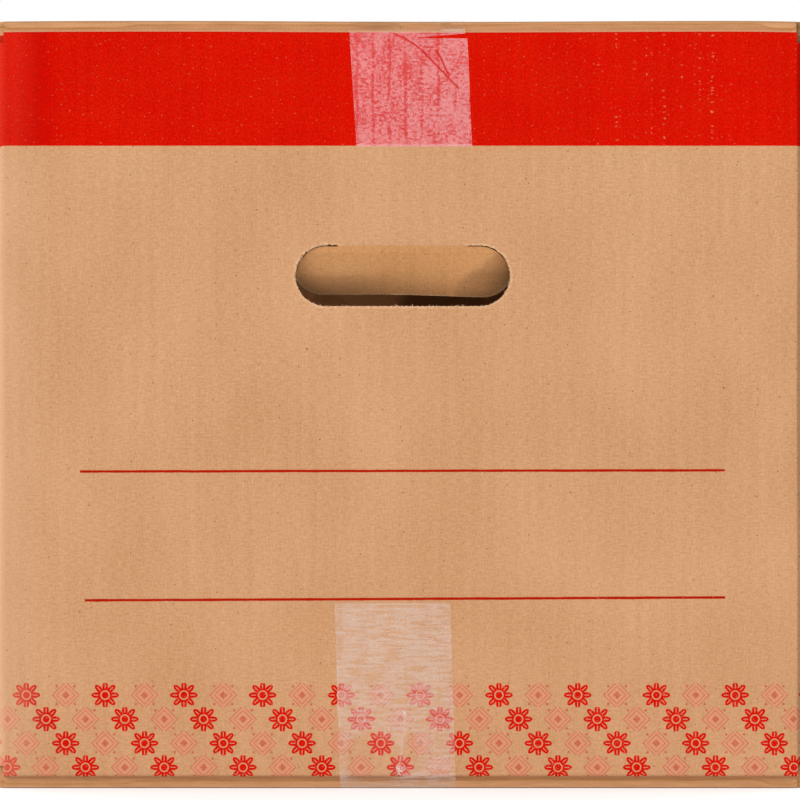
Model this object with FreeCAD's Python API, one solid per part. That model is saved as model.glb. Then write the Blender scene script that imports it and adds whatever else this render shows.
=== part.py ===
import FreeCAD, Part
import math
import os

# A closed and taped slotted carton of corrugated board, in millimetres.
# X runs across the end panels, Y along the carton, Z up; the front end panel faces -Y.

# Closed carton, outside
carton_width = 350.0
carton_length = 550.0
end_panel_height = 321.7       # from fold to fold of an end panel

# Corrugated board and its folds
board = 4.5
layer_gap = 0.3                # air between two layers, and beside the edge of a flap
fold_radius = 1.5              # outside of a flap's fold
fold_crush_radius = 0.4        # inside of a flap's fold
corner_radius = 3.4            # outside of an upright corner
corner_crush_radius = 0.5      # inside of an upright corner
slot_depth = 4.75              # how far a slot runs past the fold into the panel
seam_gap = 0.4                 # between the two outer flaps

# Glue tab inside the left back corner
glue_tab_width = 35.0
glue_tab_taper = 12.0          # how much each end slopes away over the tab's width
glue_press = 0.1               # the bend is pressed flat against the end panel by this much

# Hand holes, one in each end panel, each with its punched tab pushed inward
hand_hole_length = 92.7
hand_hole_height = 26.2
hand_hole_drop = 105.4         # from the end panel's top fold to the middle of the hole
hand_hole_offset = 1.0         # to the right of the panel's middle, seen from outside
hinge_length = 56.0            # the part of the tab's top edge that is not cut
kerf = 0.4                     # slit between the tab and the rim of the hole
push_angle = 40.0              # degrees that the tab is pushed in
push_crush_radius = 1.0        # inside of the tab's bend

# Adhesive tape along the two seams, running over onto the end panels
tape_width = 50.0
tape_thickness = 0.1
top_tape_offset = 2.9          # to the right of the seam
top_tape_front_drop = 49.5     # below the end panel's top fold
top_tape_front_lean = 3.1      # sideways, over the drop
top_tape_back_drop = 55.0
bottom_tape_offset = -1.2
bottom_tape_front_rise = 75.0  # above the end panel's bottom fold
bottom_tape_front_lean = -2.3
bottom_tape_back_rise = 55.0

# Tear in the top tape, a wedge from its right edge, just under the front fold
tear_length = 21.6
tear_upper_drop = 0.5          # from the fold to the tear's upper lip, at the tape's edge
tear_lower_drop = 2.7          # from the fold to its lower lip, at the tape's edge
tear_tip_drop = 2.4

# Levels and half sizes that follow from the sizes above
half_width = carton_width / 2
half_length = carton_length / 2
behind_wall = board + layer_gap
slot_half_width = corner_radius    # a slot is as wide as the rounding of the corner under it
outer_bottom = tape_thickness
inner_bottom = outer_bottom + board + layer_gap
inner_top = inner_bottom + end_panel_height
outer_top = inner_top + layer_gap + board
flap_reach = half_width - seam_gap / 2
flap_side = half_width - slot_half_width
flap_end = half_length - slot_half_width
past = 1.0                     # how far a cutting shape runs past what it cuts

along_x = FreeCAD.Vector(1, 0, 0)
along_y = FreeCAD.Vector(0, 1, 0)
along_z = FreeCAD.Vector(0, 0, 1)


def in_plan(u, v):
    return FreeCAD.Vector(u, v, 0)


def facing_front(u, v):
    return FreeCAD.Vector(u, 0, v)


def facing_side(u, v):
    return FreeCAD.Vector(0, u, v)


def rounded_face(corners, plane):
    """A flat face with straight sides. Each corner is (u, v, radius), and radius 0 is sharp."""
    enters, arcs, leaves = [], [], []
    points = [FreeCAD.Vector(u, v, 0) for u, v, radius in corners]
    for i, (u, v, radius) in enumerate(corners):
        back = (points[i - 1] - points[i]).normalize()
        ahead = (points[(i + 1) % len(points)] - points[i]).normalize()
        half_angle = back.getAngle(ahead) / 2
        tangent = radius / math.tan(half_angle)
        inward = (back + ahead).normalize() if radius else FreeCAD.Vector()
        enters.append(points[i] + back * tangent)
        arcs.append(points[i] + inward * (radius / math.sin(half_angle) - radius))
        leaves.append(points[i] + ahead * tangent)
    edges = []
    for i, (u, v, radius) in enumerate(corners):
        start, middle, end = [plane(p.x, p.y) for p in (enters[i], arcs[i], leaves[i])]
        if radius:
            edges.append(Part.Arc(start, middle, end).toShape())
        following = enters[(i + 1) % len(corners)]
        edges.append(Part.makeLine(end, plane(following.x, following.y)))
    return Part.Face(Part.Wire(edges))


def extruded(face, start, end, direction):
    solid = face.extrude(direction * (end - start))
    solid.translate(direction * start)
    return solid


def folded_profile(wall, reach, low, high):
    """Corners of a panel's section with a flap folded inward at both ends.

    wall is the place of the panel's outer face, and reach runs inward to the flaps' free ends.
    """
    inward = -math.copysign(1, wall)
    free_end = wall + inward * reach
    inner_face = wall + inward * board
    return [
        (free_end, high, 0),
        (wall, high, fold_radius),
        (wall, low, fold_radius),
        (free_end, low, 0),
        (free_end, low + board, 0),
        (inner_face, low + board, fold_crush_radius),
        (inner_face, high - board, fold_crush_radius),
        (free_end, high - board, 0),
    ]


def side_panel(side, back_wall_end, back_flap_end):
    """A long side panel with its two outer flaps, which meet those of the other side at the seams.

    The wall stops behind the end panels, and the flaps run on over their folds.
    """
    corners = folded_profile(side * half_width, flap_reach, outer_bottom, outer_top)
    section = rounded_face(corners, facing_front)
    panel = extruded(section, -half_length + behind_wall, back_wall_end, along_y)
    for underside in (outer_bottom, outer_top - board):
        start = min(side * seam_gap / 2, side * flap_side)
        corner = FreeCAD.Vector(start, -flap_end, underside)
        flap = Part.makeBox(flap_side - seam_gap / 2, flap_end + back_flap_end, board, corner)
        panel = panel.fuse(flap)
    return panel


def end_panel(side):
    """An end panel with its two inner flaps, which lie under the outer ones between the side walls."""
    corners = folded_profile(side * half_length, flap_reach, inner_bottom, inner_top)
    section = rounded_face(corners, facing_side)
    panel = extruded(section, -flap_side, flap_side, along_x)
    between_walls = half_width - behind_wall
    inside = half_length - board
    for edge in (-half_width, between_walls):
        corner = FreeCAD.Vector(edge, -inside, outer_bottom)
        panel = panel.cut(Part.makeBox(behind_wall, 2 * inside, outer_top - outer_bottom, corner))
    return panel


def wall_ring():
    """The four walls between the slots, with the glue tab lying inside the back panel."""
    low = inner_bottom + slot_depth
    high = inner_top - slot_depth
    outside = [
        (-half_width, -half_length, corner_radius),
        (half_width, -half_length, corner_radius),
        (half_width, half_length, corner_radius),
        (-half_width, half_length, 0),
    ]
    inner_x = half_width - board
    inner_y = half_length - board
    tab_end = -inner_x + glue_tab_width
    inside = [
        (-inner_x, -inner_y, corner_crush_radius),
        (inner_x, -inner_y, corner_crush_radius),
        (inner_x, inner_y, corner_crush_radius),
        (tab_end, inner_y, 0),
        (tab_end, inner_y - board, 0),
        (-inner_x, inner_y - board, corner_crush_radius),
    ]
    ring = extruded(rounded_face(outside, in_plan), low, high, along_z)
    ring = ring.cut(extruded(rounded_face(inside, in_plan), low - past, high + past, along_z))
    ring = ring.cut(glue_groove(low, high))
    for edge, slope in ((low, glue_tab_taper), (high, -glue_tab_taper)):
        ring = ring.cut(glue_tab_slope(-inner_x, tab_end, edge, slope))
    return ring


def glue_groove(low, high):
    """The groove outside the bend of the glue tab, next to the back panel's cut edge."""
    glue_face = half_length - board
    centre = FreeCAD.Vector(-half_width + corner_radius, glue_face + glue_press - corner_radius, 0)
    rise = corner_radius - glue_press
    top = math.pi - math.asin(rise / corner_radius)
    around = [math.pi, (math.pi + top) / 2, top]
    start, middle, end = [
        centre + FreeCAD.Vector(math.cos(a), math.sin(a), 0) * corner_radius for a in around
    ]
    outer = FreeCAD.Vector(-half_width - past, glue_face, 0)
    below = FreeCAD.Vector(-half_width - past, start.y, 0)
    edges = [
        Part.Arc(start, middle, end).toShape(),
        Part.makeLine(end, outer),
        Part.makeLine(outer, below),
        Part.makeLine(below, start),
    ]
    return extruded(Part.Face(Part.Wire(edges)), low - past, high + past, along_z)


def glue_tab_slope(root, tip, edge, slope):
    """The wedge that is cut off one end of the glue tab."""
    outside = edge - math.copysign(past, slope)
    corners = [
        (root, edge, 0),
        (tip + past, edge + slope * (tip + past - root) / (tip - root), 0),
        (tip + past, outside, 0),
        (root, outside, 0),
    ]
    glue_face = half_length - board
    return extruded(rounded_face(corners, facing_front), glue_face - board - past, glue_face, along_y)


def obround(half_span, radius, lower_radius, middle):
    """A long hole's outline with round ends. Its lower half may be flatter than its upper."""
    left = -half_span + hand_hole_offset
    right = half_span + hand_hole_offset
    top_left = FreeCAD.Vector(left, 0, middle + radius)
    top_right = FreeCAD.Vector(right, 0, middle + radius)
    bottom_left = FreeCAD.Vector(left, 0, middle - lower_radius)
    bottom_right = FreeCAD.Vector(right, 0, middle - lower_radius)
    edges = [Part.makeLine(top_left, top_right)]
    edges += quarter_ends(right, middle, radius, lower_radius, 1)
    edges += [Part.makeLine(bottom_right, bottom_left)]
    edges += quarter_ends(left, middle, radius, lower_radius, -1)
    return Part.Face(Part.Wire(Part.__sortEdges__(edges)))


def quarter_ends(centre_x, middle, radius, lower_radius, side):
    """The upper and lower quarter of one round end, the lower one squashed to lower_radius."""
    centre = FreeCAD.Vector(centre_x, 0, middle)
    tip = centre + along_x * radius * side
    diagonal = FreeCAD.Vector(side, 0, 1).normalize()
    upper = Part.Arc(centre + along_z * radius, centre + diagonal * radius, tip).toShape()
    if lower_radius == radius:
        diagonal = FreeCAD.Vector(side, 0, -1).normalize()
        lower = Part.Arc(tip, centre + diagonal * radius, centre - along_z * radius)
    else:
        ellipse = Part.Ellipse(tip, centre - along_z * lower_radius, centre)
        lower = Part.ArcOfEllipse(ellipse, 0, math.pi / 2)
    return [upper, lower.toShape()]


def front_hand_hole():
    """The hole that is punched through the front panel."""
    radius = hand_hole_height / 2
    half_span = hand_hole_length / 2 - radius
    middle = inner_top - hand_hole_drop
    face = obround(half_span, radius, radius, middle)
    return extruded(face, -half_length - past, -half_length + board + past, along_y)


def front_hand_hole_tab():
    """The punched tab, bent inward at its top edge and still joined to the panel there."""
    hinge = inner_top - hand_hole_drop + hand_hole_height / 2
    bend_centre = FreeCAD.Vector(0, -half_length + board + push_crush_radius, hinge)
    bend_length = math.radians(push_angle) * (push_crush_radius + board / 2)
    flat_length = hand_hole_height - kerf - bend_length

    def bend(width):
        corner = FreeCAD.Vector(hand_hole_offset - width / 2, -half_length, hinge)
        return Part.makePlane(width, board, corner).revolve(bend_centre, along_x, push_angle)

    flat_corner = FreeCAD.Vector(hand_hole_offset - hand_hole_length / 2, -half_length, hinge - flat_length)
    flat = Part.makeBox(hand_hole_length, board, flat_length, flat_corner)
    flat.rotate(bend_centre, along_x, push_angle)
    bent_sheet = bend(hand_hole_length).fuse(flat)

    # Seen from the front, the tab's upper ends follow the rim and its lower ends are foreshortened
    lowest = bent_sheet.BoundBox.ZMin
    radius = hand_hole_height / 2 - kerf
    half_span = hand_hole_length / 2 - hand_hole_height / 2
    middle = inner_top - hand_hole_drop
    outline = obround(half_span, radius, middle - lowest + kerf / 2, middle)
    outline = extruded(outline, -half_length - past, half_length, along_y)
    return bent_sheet.common(outline).fuse(bend(hinge_length))


def turned_to_back(shape):
    turned = shape.copy()
    turned.rotate(FreeCAD.Vector(0, 0, 0), along_z, 180)
    return turned


def carton():
    """One sheet of board, slotted, folded and glued into a closed box."""
    glue_face = half_length - board
    sheet = wall_ring().multiFuse([
        side_panel(1, half_length - behind_wall, flap_end),
        side_panel(-1, glue_face - corner_radius - layer_gap, glue_face - slot_half_width),
        end_panel(-1),
        end_panel(1),
    ])
    hole = front_hand_hole()
    tab = front_hand_hole_tab()
    sheet = sheet.cut([hole, turned_to_back(hole)])
    return sheet.multiFuse([tab, turned_to_back(tab)]).removeSplitter()


def outer_corners(path, side):
    """The corners of a path moved outward by the tape's thickness, to its left if side is 1."""
    points = [FreeCAD.Vector(u, v, 0) for u, v, radius in path]
    moved = []
    for i, (u, v, radius) in enumerate(path):
        runs = [points[k + 1] - points[k] for k in (i - 1, i) if 0 <= k < len(points) - 1]
        normals = [FreeCAD.Vector(-run.y, run.x, 0).normalize() * side for run in runs]
        mitre = (normals[0] + normals[-1]).normalize()
        corner = points[i] + mitre * (tape_thickness / mitre.dot(normals[0]))
        moved.append((corner.x, corner.y, radius + tape_thickness if radius else 0))
    return moved


def half_outline(centre, lean, fold, end, side):
    """A prism along half the seam, with the tape's outline as seen from the end at side."""
    half_span = tape_width / 2
    beyond = fold + math.copysign(behind_wall + past, fold - end)
    corners = [
        (centre - half_span, beyond, 0),
        (centre + half_span, beyond, 0),
        (centre + half_span, fold, 0),
        (centre + lean + half_span, end, 0),
        (centre + lean - half_span, end, 0),
        (centre - half_span, fold, 0),
    ]
    return extruded(rounded_face(corners, facing_front), 0, side * (half_length + past), along_y)


def tape(offset, fold, flap_face, front, back, front_lean):
    """A strip along a seam, down over the flaps' ends and onto both end panels.

    fold is the height of the end panels' fold, flap_face that of the outer flaps' face, and
    front and back are the heights at which the strip ends on the two end panels.
    """
    path = [
        (-half_length, front, 0),
        (-half_length, fold, fold_radius),
        (-flap_end, flap_face, 0),
        (flap_end, flap_face, 0),
        (half_length, fold, fold_radius),
        (half_length, back, 0),
    ]
    outer_path = outer_corners(path, math.copysign(1, flap_face - fold))
    section = rounded_face(path + outer_path[::-1], facing_side)
    strip = extruded(section, -half_width, half_width, along_x)
    outline = half_outline(offset, front_lean, fold, front, -1)
    outline = outline.fuse(half_outline(offset, 0, fold, back, 1))
    return strip.common(outline).removeSplitter()


def tear():
    """The open wedge of the torn top tape."""
    edge = top_tape_offset + tape_width / 2 + past
    corners = [
        (edge - past - tear_length, inner_top - tear_tip_drop, 0),
        (edge, inner_top - tear_lower_drop, 0),
        (edge, inner_top - tear_upper_drop, 0),
    ]
    face = rounded_face(corners, facing_front)
    return extruded(face, -half_length - past, -half_length + board, along_y)


def top_tape():
    front = inner_top - top_tape_front_drop
    back = inner_top - top_tape_back_drop
    strip = tape(top_tape_offset, inner_top, outer_top, front, back, top_tape_front_lean)
    return strip.cut(tear())


def bottom_tape():
    front = inner_bottom + bottom_tape_front_rise
    back = inner_bottom + bottom_tape_back_rise
    return tape(bottom_tape_offset, inner_bottom, outer_bottom, front, back, bottom_tape_front_lean)


os.makedirs("parts", exist_ok=True)
for piece in (carton, top_tape, bottom_tape):
    solid, = piece().Solids
    print(piece.__name__, "valid" if solid.isValid() else "not valid", round(solid.Volume, 1), "mm3")
    solid.exportStep("parts/" + piece.__name__ + ".step")
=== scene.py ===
import math
import random

import bmesh
import bpy
import numpy as np
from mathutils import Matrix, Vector


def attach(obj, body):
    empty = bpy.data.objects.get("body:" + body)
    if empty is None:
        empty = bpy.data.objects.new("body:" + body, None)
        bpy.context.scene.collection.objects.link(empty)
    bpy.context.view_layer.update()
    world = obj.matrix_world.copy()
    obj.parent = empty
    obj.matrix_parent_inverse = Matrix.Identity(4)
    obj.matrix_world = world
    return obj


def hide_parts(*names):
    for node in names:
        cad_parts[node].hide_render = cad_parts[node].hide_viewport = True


# A closed and taped slotted carton. Shapes are worked out in millimetres, as in the CAD source,
# and scaled to metres when a mesh is made.
MM = 0.001

# The carton, as in the CAD source
HALF_WIDTH = 175.0
HALF_LENGTH = 275.0
BOARD = 4.5
FLAP_END = 271.6               # ends of the outer flaps
OUTER_BOTTOM = 0.1
INNER_BOTTOM = 4.9
INNER_TOP = 326.6              # the end panels' upper fold
OUTER_TOP = 331.4
CORNER_RADIUS = 3.4
HOLE_MIDDLE = INNER_TOP - 105.4
HOLE_OFFSET = 1.0
HOLE_LENGTH = 92.7
HOLE_HEIGHT = 26.2
HOLE_TOP = HOLE_MIDDLE + HOLE_HEIGHT / 2
HOLE_BOTTOM = HOLE_MIDDLE - HOLE_HEIGHT / 2
PUSH_ANGLE = math.radians(40)
PUSH_RADIUS = 1.0
HALF_HEIGHT = 165.0            # tells what lies in the upper half from what lies in the lower
TAB_LENGTH = 23.5              # the flat part of the tab, below its bend
BENT_TAB_LENGTH = 27.1         # the straight distance from the tab's fold to its lower edge
SEAM_GAP = 0.4

# Places along the sheet, which runs round the carton from the middle of the front panel
CORNER_ARC = CORNER_RADIUS * math.pi / 2
FRONT_END = HALF_WIDTH - CORNER_RADIUS
SIDE_START = FRONT_END + CORNER_ARC
SIDE_END = SIDE_START + 2 * (HALF_LENGTH - CORNER_RADIUS)
BACK_MIDDLE = SIDE_END + CORNER_ARC + FRONT_END

FLUTE_PITCH = 7.0
FLUTE_SHIFT = -18.8            # where one crest lies, to the left of the middle

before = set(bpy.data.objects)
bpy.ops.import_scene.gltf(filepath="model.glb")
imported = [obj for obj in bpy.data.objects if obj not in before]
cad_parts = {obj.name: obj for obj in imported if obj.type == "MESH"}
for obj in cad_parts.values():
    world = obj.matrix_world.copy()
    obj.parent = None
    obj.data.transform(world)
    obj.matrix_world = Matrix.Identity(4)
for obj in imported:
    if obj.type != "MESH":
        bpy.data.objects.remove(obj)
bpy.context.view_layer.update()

# How a used carton differs from a flat-sided one
END_BULGE = 0.7
SIDE_BULGE = 1.9
TOP_SAG = 1.5
CORNER_WEAR = 0.9              # how far in the upright corners are worn
FLAP_SETTLING = 0.26           # how far the outer flaps' ends come down, to rest on the fold
KNOCK_REACH = 16.0
KNOCKS = (                     # each upper corner's side in x and y, and how far it is knocked in
    (-1, -1, 0.1),
    (1, -1, 0.35),
    (1, 1, 2.2),
    (-1, 1, 1.4),
)

# Sizes of the meshes' faces, the pairs across and up
PANEL_STEP = 12.0
FLAP_END_STEP = 3.1
TAB_STEPS = (1.5, 1.1)
RIM_STEPS = (0.7, 0.8)
TAPE_STEP = 1.1
TAPE_SPAN = (-28, 32)          # from left to right, a little past the tape's edges

# What a face of the carton shows, which is also its material's place in the list
OUTSIDE, INSIDE, CUT, TAB, MEDIUM = range(5)


# Meshes that start as a finer copy of a CAD node

def copied(node):
    """The CAD node's mesh in millimetres, with its flat faces made whole again."""
    bm = bmesh.new()
    bm.from_mesh(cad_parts[node].data)
    bmesh.ops.scale(bm, vec=(1 / MM, 1 / MM, 1 / MM), verts=bm.verts)
    bmesh.ops.remove_doubles(bm, verts=bm.verts, dist=0.001)
    bmesh.ops.dissolve_limit(
        bm, angle_limit=math.radians(0.3), use_dissolve_boundaries=False,
        verts=bm.verts, edges=bm.edges,
    )
    for layer in ("kind", "tab"):
        bm.faces.layers.int.new(layer)
    return bm


def sliced(bm, axis, places, faces=None):
    """Cuts these faces, or all of them, by planes across axis 0, 1 or 2, and returns their pieces."""
    normal = [0, 0, 0]
    normal[axis] = 1
    if faces is None:
        geometry = bm.faces[:] + bm.edges[:] + bm.verts[:]
    else:
        geometry = list(faces)
        geometry += {e for f in faces for e in f.edges}
        geometry += {v for f in faces for v in f.verts}
    for place in places:
        geometry = bmesh.ops.bisect_plane(
            bm, geom=geometry, dist=0.002, plane_co=[n * place for n in normal], plane_no=normal,
        )["geom"]
    return [f for f in geometry if isinstance(f, bmesh.types.BMFace)]


def spaced(low, high, step):
    """Even places between low and high, without the two."""
    count = max(1, round((high - low) / step))
    return [low + (high - low) * i / count for i in range(1, count)]


def patch_from(bm, place, normal):
    """The faces that join the one at this place without a sharp edge."""
    def distance(f):
        centre = f.calc_center_median()
        return (f.normal - normal).length * 1000 + abs((place - centre).dot(normal))
    # the seed is the widest face in the plane of place
    plane = [f for f in bm.faces if distance(f) < 1.0]
    seed = max(plane, key=lambda f: f.calc_area())
    found, edge_of_patch = {seed}, [seed]
    while edge_of_patch:
        f = edge_of_patch.pop()
        for e in f.edges:
            for other in e.link_faces:
                if other not in found and other.normal.angle(f.normal) < math.radians(40):
                    found.add(other)
                    edge_of_patch.append(other)
    return found


# The bulges and knocks of a used carton

def bell(a):
    """1 at 0, and 0 from -1 down and from 1 up."""
    return np.cos(np.clip(a, -1, 1) * np.pi / 2)


def ease(a, low, high):
    """Goes smoothly from 0 at low to 1 at high."""
    t = np.clip((a - low) / (high - low), 0, 1)
    return t * t * (3 - 2 * t)


def rough(a, b):
    """Uneven between about -1 and 1, in waves from under a millimetre to a few."""
    wide = 0.45 * np.sin(2.1 * a + 1.3 * b)
    return wide + 0.33 * np.sin(4.7 * b - 3.9 * a + 2) + 0.22 * np.sin(9.1 * a + 7.7 * b + 4)


def settled(p):
    """Where points of the flat-sided carton lie on the used one, whose panels bulge and sag."""
    x, y, z = p.T
    across, along = x / HALF_WIDTH, y / HALF_LENGTH
    up = (z - (INNER_TOP + INNER_BOTTOM) / 2) / ((INNER_TOP - INNER_BOTTOM) / 2)
    above_base = ease(z, 6, 60)
    moved = p.copy()
    at_end = ease(np.abs(y), 200, 262) * np.sign(y)
    at_side = ease(np.abs(x), 110, 165) * np.sign(x)
    at_top = ease(z, 290, 322)
    end_bulge = END_BULGE * bell(across) * bell(up)
    end_bulge += 0.16 * np.sin(x / 27 + 1.3) * np.sin(z / 31 + 0.4)
    side_bulge = SIDE_BULGE * bell(along) * bell(up)
    side_bulge += 0.3 * np.sin(y / 37 + 0.7) * np.sin(z / 29 + 2.1)
    sag = -TOP_SAG * bell(along) * bell(across * 0.8)
    sag += 0.22 * np.sin(y / 33) * np.sin(x / 41 + 1.1)
    moved[:, 1] += at_end * end_bulge * above_base
    moved[:, 0] += at_side * side_bulge * above_base
    moved[:, 2] += at_top * sag
    # The two outer flaps all but touch, along a line that is not quite straight
    outer_flap = (z > INNER_TOP + 0.1) | (z < INNER_BOTTOM - 0.1)
    closed = np.sign(x) * (SEAM_GAP / 2 - 0.03) * (np.abs(x) < SEAM_GAP)
    wandering = 0.9 * np.sin((y + 40) / 70) * np.exp(-(x / 9) ** 2)
    moved[:, 0] += outer_flap * (wandering - closed)
    # The upright corners are a little rounder than the folds they come from
    from_corner = np.hypot(HALF_WIDTH - np.abs(x), HALF_LENGTH - np.abs(y))
    rounder = CORNER_WEAR * np.exp(-(from_corner / 5.5) ** 2) * ease(z, 5, 14) * ease(z, 323, 314)
    moved[:, 0] -= rounder * np.sign(x) * 0.7
    moved[:, 1] -= rounder * np.sign(y) * 0.7
    # At their ends the outer flaps rest on the fold below
    at_flap_end = np.abs(y) > FLAP_END - 7
    moved[:, 2] -= (at_flap_end & (np.abs(z - OUTER_TOP + BOARD) < 0.02)) * FLAP_SETTLING
    moved[:, 2] += (at_flap_end & (np.abs(z - OUTER_BOTTOM - BOARD) < 0.02)) * FLAP_SETTLING
    # Each upper corner is knocked in by its own amount
    for cx, cy, depth in KNOCKS:
        corner = np.array([cx * HALF_WIDTH, cy * HALF_LENGTH, OUTER_TOP])
        away = p - corner
        near = np.exp(-np.sum(away * away, axis=1) / KNOCK_REACH ** 2)
        moved -= near[:, None] * depth * np.array([cx * 0.6, cy * 0.6, 0.9])
    return moved


# The sheet that carries the print: how far round the carton, and how high or how far past a fold

def sheet_place(p, n):
    """The place on the sheet of a point of the flat-sided carton, on a face with the normal n."""
    x, y, z = p
    end_x, end_y = HALF_WIDTH - CORNER_RADIUS, HALF_LENGTH - CORNER_RADIUS
    facing_end = abs(n[1]) > abs(n[0])
    flap = abs(n[2]) > 0.8 and (z > 300 or z < 30)
    inner_flap = flap and (INNER_BOTTOM - 0.05 < z < INNER_BOTTOM + BOARD + 0.05
                           or INNER_TOP - BOARD - 0.05 < z < INNER_TOP + 0.05)
    if flap:
        facing_end = inner_flap
    if abs(x) > end_x and abs(y) > end_y and not flap:
        turn = math.atan2(abs(y) - end_y, abs(x) - end_x)
        round_corner = CORNER_RADIUS * (math.pi / 2 - turn)
        if y < 0:
            u = math.copysign(FRONT_END + round_corner, x)
        elif x > 0:
            u = BACK_MIDDLE - FRONT_END - round_corner
        else:
            from_back, from_side = BACK_MIDDLE + FRONT_END, -SIDE_END - CORNER_ARC
            u = (from_back if facing_end else from_side) + round_corner
    elif facing_end:
        u = x if y < 0 else BACK_MIDDLE - x
    else:
        u = math.copysign(SIDE_START + y + end_y, x)
    past_fold = HALF_LENGTH - abs(y) if facing_end else HALF_WIDTH - abs(x)
    if not flap:
        past_fold = min(past_fold, BOARD)
    v = z + past_fold if z > HALF_HEIGHT else z - past_fold
    return u, v


def tab_place(p, n):
    """On a bent tab, the length of board down from its fold takes the place of the height."""
    x, y, z = p
    down = math.hypot(HALF_LENGTH - abs(y), HOLE_TOP - z)
    return x if y < 0 else BACK_MIDDLE - x, HOLE_TOP - down * HOLE_HEIGHT / BENT_TAB_LENGTH


def lay_out(bm, place_of):
    """Gives every corner of every face its place on the sheet, before anything is moved."""
    layer = bm.loops.layers.uv.new("sheet")
    tab = bm.faces.layers.int["tab"]
    for f in bm.faces:
        centre = f.calc_center_median()
        for loop in f.loops:
            # a little towards the face's middle, so that a corner shared by two panels is on its own
            p = loop.vert.co.lerp(centre, 0.002)
            u, v = (tab_place if f[tab] else place_of)(p, f.normal)
            loop[layer].uv = (u * MM, v * MM)


def finished(bm, name, materials):
    """Makes the object, in metres."""
    bmesh.ops.scale(bm, vec=(MM, MM, MM), verts=bm.verts)
    mesh = bpy.data.meshes.new(name)
    bm.to_mesh(mesh)
    bm.free()
    for attribute in ("custom_normal", "kind", "tab"):
        if attribute in mesh.attributes:
            mesh.attributes.remove(mesh.attributes[attribute])
    for polygon in mesh.polygons:
        polygon.use_smooth = True
    mesh.set_sharp_from_angle(angle=math.radians(35))
    for material in materials:
        mesh.materials.append(material)
    piece = bpy.data.objects.new(name, mesh)
    bpy.context.scene.collection.objects.link(piece)
    return piece


def place_all(bm, mover):
    """Moves every point by one function of all their places."""
    bm.verts.ensure_lookup_table()
    moved = mover(np.array([v.co for v in bm.verts]))
    for v, p in zip(bm.verts, moved):
        v.co = p


# The hand hole's tab, which is bent and creased

# The crease's distance from the tab's middle, at each of these drops below the fold
CREASE_DROPS = (0, 1.9, 4.4, 7.0, 10.5, 12.7, 16.1, 23)
CREASE_PLACES = (43, 42, 38.5, 35.5, 31.2, 27, 24, 22)
CREASE_SLOPE = 0.34            # how much further in the board goes for each millimetre past it


def tab_faces(bm, side):
    """The faces of the tab in the front panel (side -1) or in the back panel (side 1)."""
    found = []
    for f in bm.faces:
        depth = HALF_LENGTH - f.calc_center_median().y * side
        behind = depth > BOARD + 0.3 or abs(f.normal.y) > 0.3
        if -0.01 < depth < 30 and behind and all(
            abs(v.co.x + HOLE_OFFSET * side) < HOLE_LENGTH / 2 + 0.1
            and HOLE_BOTTOM - 0.1 < v.co.z < HOLE_TOP + 0.1
            for v in f.verts
        ):
            found.append(f)
    return found


def bent_tab(p, side):
    """The tab's points moved: it bows to the front, and one end is creased and pushed further in."""
    hinge_y = HALF_LENGTH - BOARD - PUSH_RADIUS
    outward = p[:, 1] * side - hinge_y
    drop = HOLE_TOP - p[:, 2]
    x = p[:, 0] * -side - HOLE_OFFSET
    down_tab = drop * math.cos(PUSH_ANGLE) - outward * math.sin(PUSH_ANGLE)
    t = np.clip(down_tab / TAB_LENGTH, 0, 1)
    at_left, at_right = ease(-x, -4, 28), ease(x, 0, 40)
    fold = (1.01 - np.sqrt((2 * t - 1) ** 2 + 0.02)) / 0.87
    bow = 1.0 * np.sin(np.pi * t) * (1 - at_left) + 2.7 * fold * at_left
    bow *= 0.6 + 0.4 * bell(x / 52)
    less_pushed = (4.0 + 3.3 * at_right - 3.2 * at_left) * t
    # The crease runs down from the hole's upper right end, and fades out in the lower half
    past_crease = np.maximum(0, x - np.interp(drop, CREASE_DROPS, CREASE_PLACES))
    creased = CREASE_SLOPE * past_crease * ease(drop, 1.0, 3.0)
    soft_crease = creased * creased / (creased + 0.06)
    # The scored hinge is a sharper fold than a round bend
    from_hinge = np.hypot(outward, drop)
    scored = 0.33 * np.sin(np.pi * np.clip(drop / 3.5, 0, 1)) * (from_hinge > BOARD + PUSH_RADIUS - 0.4)
    moved = p.copy()
    moved[:, 1] += side * (bow * math.cos(PUSH_ANGLE) + less_pushed - soft_crease - scored)
    moved[:, 2] += t * (0.65 - 1.25 * ease(x, -8, 40)) - bow * math.sin(PUSH_ANGLE) * 0.3
    # Behind the panel the tab is about as wide as the hole, since the knife takes nothing away
    behind = ease(hinge_y + BOARD - p[:, 1] * side, -0.8, 0.8)
    wider = np.where(x > 0, 0.36, 0.1 if side < 0 else 0.36)
    moved[:, 0] += -side * np.sign(x) * wider * ease(np.abs(x), 36, 42) * behind
    # and at its right end it is pressed against the rim
    from_middle = np.stack([x - np.clip(x, -33.2, 33.2), p[:, 2] - HOLE_MIDDLE], axis=1)
    from_middle /= np.maximum(np.hypot(*from_middle.T), 1)[:, None]
    pressed = 0.2 * (x > 36) * (1 - behind)
    moved[:, 0] += -side * pressed * from_middle[:, 0]
    moved[:, 2] += pressed * from_middle[:, 1]
    return moved


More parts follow.
